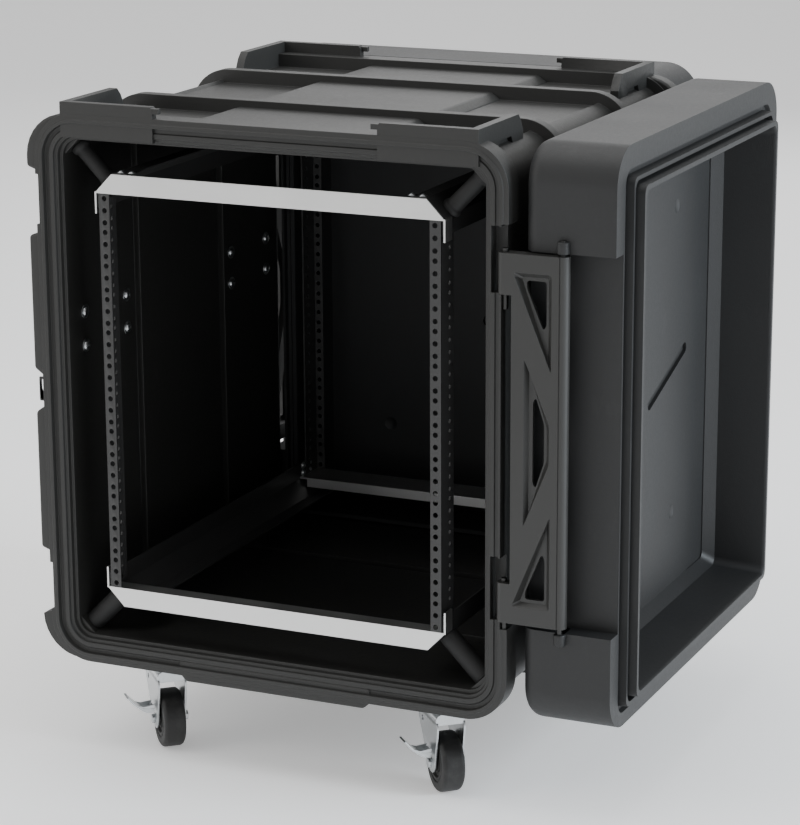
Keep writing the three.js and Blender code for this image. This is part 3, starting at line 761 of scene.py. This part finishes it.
rail = rack_rail()
for key, matrix in CORNERS.items():
    side, end = key.split("_")
    finished(copy_of(rail, f"rack_rail_{end}_{side}_fine", matrix), "case", "rail_paint", (f"rack_rail_{end}_{side}",))
bpy.data.objects.remove(rail)


def screw_head(name, place, axis, out, radius, rise):
    """A domed head on a thin washer, with a driver socket sunk in the middle."""
    centre = Vector(place)
    centre[axis] += out * rise / 2
    head = rod(name, centre, axis, radius, rise, 24)
    open_edit(head, "EDGE")
    far = place[axis] + out * rise
    pick(lambda e: all(abs(v.co[axis] - far) < 1e-6 for v in e.verts))
    bpy.ops.mesh.bevel(offset=rise * 0.8, segments=4, affect="EDGES", profile=0.5)
    bpy.ops.mesh.select_mode(type="FACE")
    pick(lambda f: f.normal[axis] * out > 0.99)
    bpy.ops.mesh.inset(thickness=radius * 0.15, depth=0)
    bpy.ops.mesh.inset(thickness=0.0002, depth=-rise * 0.5)
    close_edit()
    smooth(head)
    washer_centre = Vector(place)
    washer_centre[axis] += out * 0.0005
    washer = soften(rod(name, washer_centre, axis, radius * 1.45, 0.001, 28), 0.0003, 2)
    return joined(name, [head, washer])


WALL_X = RING_HALF - RING_FACE
SCREW_Y = (0.056, 0.168, DEPTH - 0.168, DEPTH - 0.056)
SCREW_Z = (0.316, 0.362)
handle_screws = []
for side in (-1, 1):
    first = screw_head("handle_screw", (side * WALL_X, SCREW_Y[0], SCREW_Z[0]), 0, -side, 0.0065, 0.0045)
    shifts = [(0, y - SCREW_Y[0], z - SCREW_Z[0]) for y in SCREW_Y for z in SCREW_Z]
    handle_screws += spread(first, shifts[1:])
on_case(handle_screws, "handle_screws", "zinc_steel")

BEAM_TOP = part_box("side_beam_upper_right")[1].z - ORIGIN.z
frame_screws = []
for side in (-1, 1):
    top = screw_head("frame_screw", (side * 0.197, 0.017, BEAM_TOP), 2, 1, 0.0036, 0.0028)
    frame_screws += spread(top, [(side * 0.015, 0, 0), (0, DEPTH - 0.034, 0), (side * 0.015, DEPTH - 0.034, 0)])
    web = screw_head("frame_screw", (side * 0.24095, DEPTH - 0.030, 0.004), 0, -side, 0.0042, 0.0033)
    high = RACK_TOP - 0.018
    levels = [(0, 0, 0.011), (0, -0.022, 0), (0, -0.022, 0.011), (0, 0, high), (0, -0.022, high)]
    frame_screws += spread(web, levels)
on_case(frame_screws, "frame_screws", "zinc_steel")


def corner_place(up):
    """Places a part that points along +Z on the line from the frame to a round inner corner of the shell."""
    level = RING_TOP - RING_FACE - CORNER_R if up > 0 else RING_LOW + RING_FACE + CORNER_R
    turn = Matrix.Rotation(math.radians(45 if up > 0 else 135), 4, "Y")
    return Matrix.Translation((WALL_X - CORNER_R, 0, level)) @ turn


def upper_mount():
    """The rubber cushion from the slanted face of a top beam out to the shell, waisted between its end flanges."""
    across, up = WALL_X - CORNER_R, RING_TOP - RING_FACE - CORNER_R
    start, end = (BEAM_FACE - across - (up - RACK_TOP)) * math.sqrt(0.5) + 0.0004, 0.0165
    mount = rod("upper_mount", (0, MOUNT_Y, (start + end) / 2), 2, 0.0135, end - start, 40)
    open_edit(mount, "FACE")
    for level, flange in ((start, 0.006), (end, -0.006)):
        bpy.ops.mesh.select_all(action="SELECT")
        bpy.ops.mesh.bisect(plane_co=(0, 0, level + flange), plane_no=(0, 0, 1))
    bpy.ops.mesh.select_mode(type="FACE")
    pick(lambda f: abs(f.normal.z) < 0.5 and start + 0.007 < f.calc_center_median().z < end - 0.007)
    bpy.ops.mesh.inset(thickness=0.003, depth=-0.0025)
    close_edit()
    return soften(mount, 0.0016, 3)


mount = upper_mount()
mount.data.transform(corner_place(1))
on_case(four_corners(mount), "upper_mounts", "mount_rubber")

corner_seats = []
for up in (-1, 1):
    seat_outline = [(-0.0185, 0.0170), (0.0185, 0.0170), (0.012, 0.0235), (-0.012, 0.0235)]
    corner_seat = pushed("corner_seat", 0.001, seat_outline, 1, 0.019, 0.072)
    corner_seat.data.transform(corner_place(up))
    corner_seats += four_corners(corner_seat)
on_case(corner_seats, "corner_seats")


# ---- Twist latches, drawn at the left of the front ----
LATCH_X = -RING_HALF + 0.004 - GAP
LATCH_Y = 0.056


def latch_dish():
    """A pressed plate with a round-cornered pan and a rivet in each corner."""
    x = LATCH_X
    dish = block("latch_dish", (x - 0.003, LATCH_Y - 0.048, -0.032), (x, LATCH_Y + 0.048, 0.032))
    pan = block("pan", (x - 0.01, LATCH_Y - 0.038, -0.0235), (x - 0.001, LATCH_Y + 0.038, 0.0235))
    cut(round_edges(dish, 0, 0.006, 5), [round_edges(pan, 0, 0.010, 7)])
    rivets = []
    for y in (-0.0425, 0.0425):
        for z in (-0.0265, 0.0265):
            rivet = rod("rivet", (x - 0.0033, LATCH_Y + y, z), 0, 0.0028, 0.0014, 20)
            rivets.append(soften(rivet, 0.0006, 3))
    return joined("latch_dish", [soften(dish, 0.0007, 3)] + rivets)


def latch_lever():
    """A round boss with a ring round it, and a winged key to turn it by."""
    x = LATCH_X
    boss = rod("boss", (x - 0.00635, LATCH_Y, 0), 0, 0.015, 0.008, 40)
    open_edit(boss, "FACE")
    pick(lambda f: f.normal.x < -0.99)
    for thickness, depth in ((0.002, 0), (0.0008, -0.0012), (0.0016, 0), (0.0008, 0.0012)):
        bpy.ops.mesh.inset(thickness=thickness, depth=depth)
    close_edit()
    wing = [(-0.022, -0.004), (-0.007, -0.0026), (0.007, -0.0026), (0.022, -0.004),
            (0.022, 0.004), (0.007, 0.0026), (-0.007, 0.0026), (-0.022, 0.004)]
    key = slab("key", [(LATCH_Y + a, b) for a, b in wing], 0, x - 0.0139, x - 0.0085)
    round_edges(key, 0, 0.0022, 4, lambda e: abs(abs(e.verts[0].co.y - LATCH_Y) - 0.022) < 0.0001)
    neck = rod("neck", (x - 0.0092, LATCH_Y, 0), 0, 0.0062, 0.006, 28)
    return joined("latch_lever", [soften(boss, 0.0006, 2), soften(key, 0.0011, 3), soften(neck, 0.0006, 2)])


for kind, model in (("dish", latch_dish()), ("lever", latch_lever())):
    for level, height in zip(("upper", "lower"), LATCH_Z):
        for end, matrix in (("front", Matrix.Identity(4)), ("rear", HALF_TURN)):
            node = f"{end}_latch_{kind}_{level}"
            body = "case" if kind == "dish" else f"{end}_{level}_latch"
            placed = copy_of(model, f"{node}_fine", matrix @ Matrix.Translation((0, 0, height)))
            finished(placed, body, "zinc_steel", (node,))
    bpy.data.objects.remove(model)


# ---- Casters, drawn about the swivel line with the wheel trailing along +X ----
CASTERS = {"front_left": (-CASTER_X, CASTER_Y, -48), "front_right": (CASTER_X, CASTER_Y, -48),
           "rear_left": (-CASTER_X, DEPTH - CASTER_Y, 48), "rear_right": (CASTER_X, DEPTH - CASTER_Y, 132)}


def caster_place(key, turned=True):
    x, y, degrees = CASTERS[key]
    turn = Matrix.Rotation(math.radians(degrees if turned else 0), 4, "Z")
    return Matrix.Translation((x, y, 0)) @ turn


def caster_fork():
    """Pressed legs under a round-shouldered crown, the swivel race, and a nutted axle."""
    t, a = TRAIL, AXLE_Z
    leg_outline = [(-0.026, FORK_TOP - 0.018), (t + 0.020, FORK_TOP - 0.018), (t + 0.024, FORK_TOP - 0.028),
                   (t + 0.013, a - 0.004), (t + 0.006, a - 0.013), (t - 0.006, a - 0.013), (t - 0.013, a - 0.006),
                   (-0.022, FORK_TOP - 0.034)]
    legs = []
    for side in (-1, 1):
        inner, outer = side * (WHEEL_HALF + 0.002), side * (WHEEL_HALF + 0.005)
        leg = round_edges(slab("fork_leg", leg_outline, 1, min(inner, outer), max(inner, outer)), 1, 0.004, 4)
        cut(leg, [rod("sight_hole", (-0.006, side * 0.0185, FORK_TOP - 0.031), 1, 0.0035, 0.01, 20)])
        legs.append(soften(leg, 0.0007, 2))
        legs.append(soften(rod("axle_washer", (t, side * 0.0205, a), 1, 0.0085, 0.0012, 28), 0.0003, 2))
        legs.append(soften(rod("axle_nut", (t, side * 0.0232, a), 1, 0.0068, 0.0042, 6), 0.0006, 2))
        legs.append(soften(rod("leg_pad", (t, side * 0.0194, a), 1, 0.0112, 0.0016, 32), 0.0005, 2))
    crown = block("fork_crown", (-0.026, -WHEEL_HALF - 0.005, FORK_TOP - 0.024),
                  (t + 0.020, WHEEL_HALF + 0.005, FORK_TOP - 0.0085))
    round_edges(crown, 0, 0.0085, 7, lambda e: e.verts[0].co.z > FORK_TOP - 0.012)
    race = rod("swivel_race", (0, 0, FORK_TOP - 0.007), 2, 0.0265, 0.0135, 48)
    open_edit(race, "EDGE")
    pick(lambda e: all(v.co.z < FORK_TOP - 0.01 for v in e.verts))
    bpy.ops.mesh.bevel(offset=0.006, segments=5, affect="EDGES", profile=0.5)
    close_edit()
    cut(race, [rod("race_gap", (0, 0, FORK_TOP - 0.0035), 2, 0.03, 0.0008, 48)])
    king = rod("king_nut", (0, 0, FORK_TOP - 0.0265), 2, 0.0085, 0.006, 6)
    axle = rod("axle", (t, 0, a), 1, 0.0048, 0.0500, 24)
    parts = [soften(piece, 0.0008, 2) for piece in (crown, race, king, axle)]
    return joined("caster_fork", legs + parts)


def caster_wheel():
    """A hard tyre with rounded shoulders, a moulded rim ring and a standing hub on each side."""
    wheel = rod("caster_wheel", (TRAIL, 0, AXLE_Z), 1, WHEEL_R, 2 * WHEEL_HALF, 72)
    for side in (-1, 1):
        open_edit(wheel, "EDGE")
        pick(lambda e: all(side * v.co.y > WHEEL_HALF - 0.0001 for v in e.verts))
        bpy.ops.mesh.bevel(offset=0.0055, segments=4, affect="EDGES", profile=0.5)
        bpy.ops.mesh.select_mode(type="FACE")
        pick(lambda f: side * f.normal.y > 0.99)
        for thickness, depth in ((0.0075, 0), (0.0010, -0.0016), (0.0012, 0), (0.0008, 0.0014), (0.0035, 0),
                                 (0.0012, -0.0035), (0.0058, 0), (0.0010, 0.0030), (0.0022, 0.0)):
            bpy.ops.mesh.inset(thickness=thickness, depth=depth, use_even_offset=True)
        close_edit()
    bore = rod("bore", (TRAIL, 0, AXLE_Z), 1, 0.0052, 0.05, 32)
    cut(wheel, [bore])
    return soften(wheel, 0.0004, 2, 40)


def brake_lever():
    """A pressed pedal that curls up at its end, on a round cam beside the fork leg."""
    v, z = WHEEL_HALF + 0.0068, AXLE_Z + 0.018
    under = [(0.0005, -0.003), (0.010, -0.0022), (0.018, -0.0002), (0.026, 0.0046), (0.032, 0.0105),
             (0.0365, 0.0165), (0.0390, 0.0188)]
    over = [(0.0362, 0.0198), (0.0345, 0.0178), (0.0300, 0.0128), (0.0245, 0.0073), (0.017, 0.0024),
            (0.010, 0.0008), (0.0005, 0.0005)]
    pedal = slab("brake_pedal", [(-v - a, z + b) for a, b in under + over], 0, TRAIL - 0.011, TRAIL + 0.011)
    cam = rod("brake_cam", (TRAIL, -v - 0.0039, z - 0.001), 1, 0.0062, 0.0036, 32)
    pin = rod("brake_pin", (TRAIL, -v - 0.0020, z), 1, 0.0028, 0.0030, 24)
    flanges = []
    outline = [(-v - 0.0022, z - 0.0065), (-v - 0.012, z - 0.0055), (-v - 0.022, z + 0.001),
               (-v - 0.026, z + 0.0075), (-v - 0.016, z + 0.004), (-v - 0.0008, z + 0.006)]
    for x in (TRAIL - 0.0105, TRAIL + 0.0085):
        flanges.append(soften(slab("brake_side", outline, 0, x, x + 0.002), 0.0005, 2))
    return joined("brake_lever", [soften(pedal, 0.0006, 2), soften(cam, 0.0006, 2), pin] + flanges)


def caster_plate():
    """The mounting plate with four bolt heads."""
    plate = block("caster_plate", (-0.046, -0.036, FORK_TOP + GAP), (0.046, 0.036, RING_LOW - GAP))
    round_edges(plate, 2, 0.007, 6)
    bolts = []
    for x in (-0.036, 0.036):
        for y in (-0.026, 0.026):
            bolts.append(soften(rod("plate_bolt", (x, y, FORK_TOP - 0.0015), 2, 0.0055, 0.0042, 6), 0.0006, 2))
    return joined("caster_plate", [soften(plate, 0.0006, 2)] + bolts)


for kind, model, slot in (("fork", caster_fork(), "zinc_steel"), ("wheel", caster_wheel(), "wheel_rubber"),
                          ("plate", caster_plate(), "zinc_steel")):
    for key in CASTERS:
        still = kind == "plate"
        node = f"caster_{kind}_{key}"
        placed = copy_of(model, f"{node}_fine", caster_place(key, not still))
        finished(placed, "case" if still else f"{key}_{kind}", slot, (node,))
    bpy.data.objects.remove(model)
model = brake_lever()
for key in ("front_left", "front_right"):
    node = f"brake_lever_{key}"
    finished(copy_of(model, f"{node}_fine", caster_place(key)), f"{key}_brake", "zinc_steel", (node,))
bpy.data.objects.remove(model)


# ---- Everything else takes its shape from the model, with its edges rolled ----
body_of = {node: body for body, nodes in frame["record"]["behaviour"]["bodies"].items() for node in nodes}
slot_of = {part["node"]: part["material_slot"] for part in frame["record"]["subparts"]}
REDRAWN = ("case_body", "front_door", "rear_door", "front_hinge_plate", "rear_hinge_plate")
REDRAWN_SETS = ("rack_rail", "caster_", "brake_lever", "front_latch_", "rear_latch_")
ROLL = {"bare_aluminium": 0.0004, "rail_paint": 0.0003, "grip_rubber": 0.0015, "lock_black": 0.0016}
for node in sorted(frame["nodes"]):
    if node in REDRAWN or node.startswith(REDRAWN_SETS):
        continue
    kind = slot_of[node]
    finished(rounded_copy(node, ROLL.get(kind, 0.0008)), body_of[node], kind, (node,))


# ---- Studio ----
def studio():
    bpy.ops.object.select_all(action="DESELECT")
    bpy.ops.mesh.primitive_plane_add(size=60, location=(0, 0, 0))
    floor = named("studio_floor")
    floor.data.materials.append(pale_floor())
    world = bpy.data.worlds.new("studio_air")
    world.use_nodes = True
    world.node_tree.nodes["Background"].inputs["Color"].default_value = (1, 1, 1, 1)
    world.node_tree.nodes["Background"].inputs["Strength"].default_value = 0.56
    bpy.context.scene.world = world
    for name, place, size, power, tone in (
            ("front_softbox", (-2.6, -2.4, 2.0), 1.6, 24, (1.0, 0.98, 0.95)),
            ("overhead_softbox", (-0.6, -0.1, 3.4), 3.0, 60, (1.0, 1.0, 0.99)),
            ("back_softbox", (-0.8, 4.2, 2.6), 3.2, 45, (1.0, 1.0, 1.0)),
            ("right_softbox", (4.4, 0.1, 1.9), 1.6, 240, (0.84, 0.92, 1.0))):
        light = bpy.data.lights.new(name, "AREA")
        light.size = size
        light.energy = power
        light.color = tone
        lamp = bpy.data.objects.new(name, light)
        bpy.context.scene.collection.objects.link(lamp)
        lamp.location = place
        lamp.rotation_euler = (Vector((0, 0, 0.5)) - lamp.location).to_track_quat("-Z", "Y").to_euler()


studio()
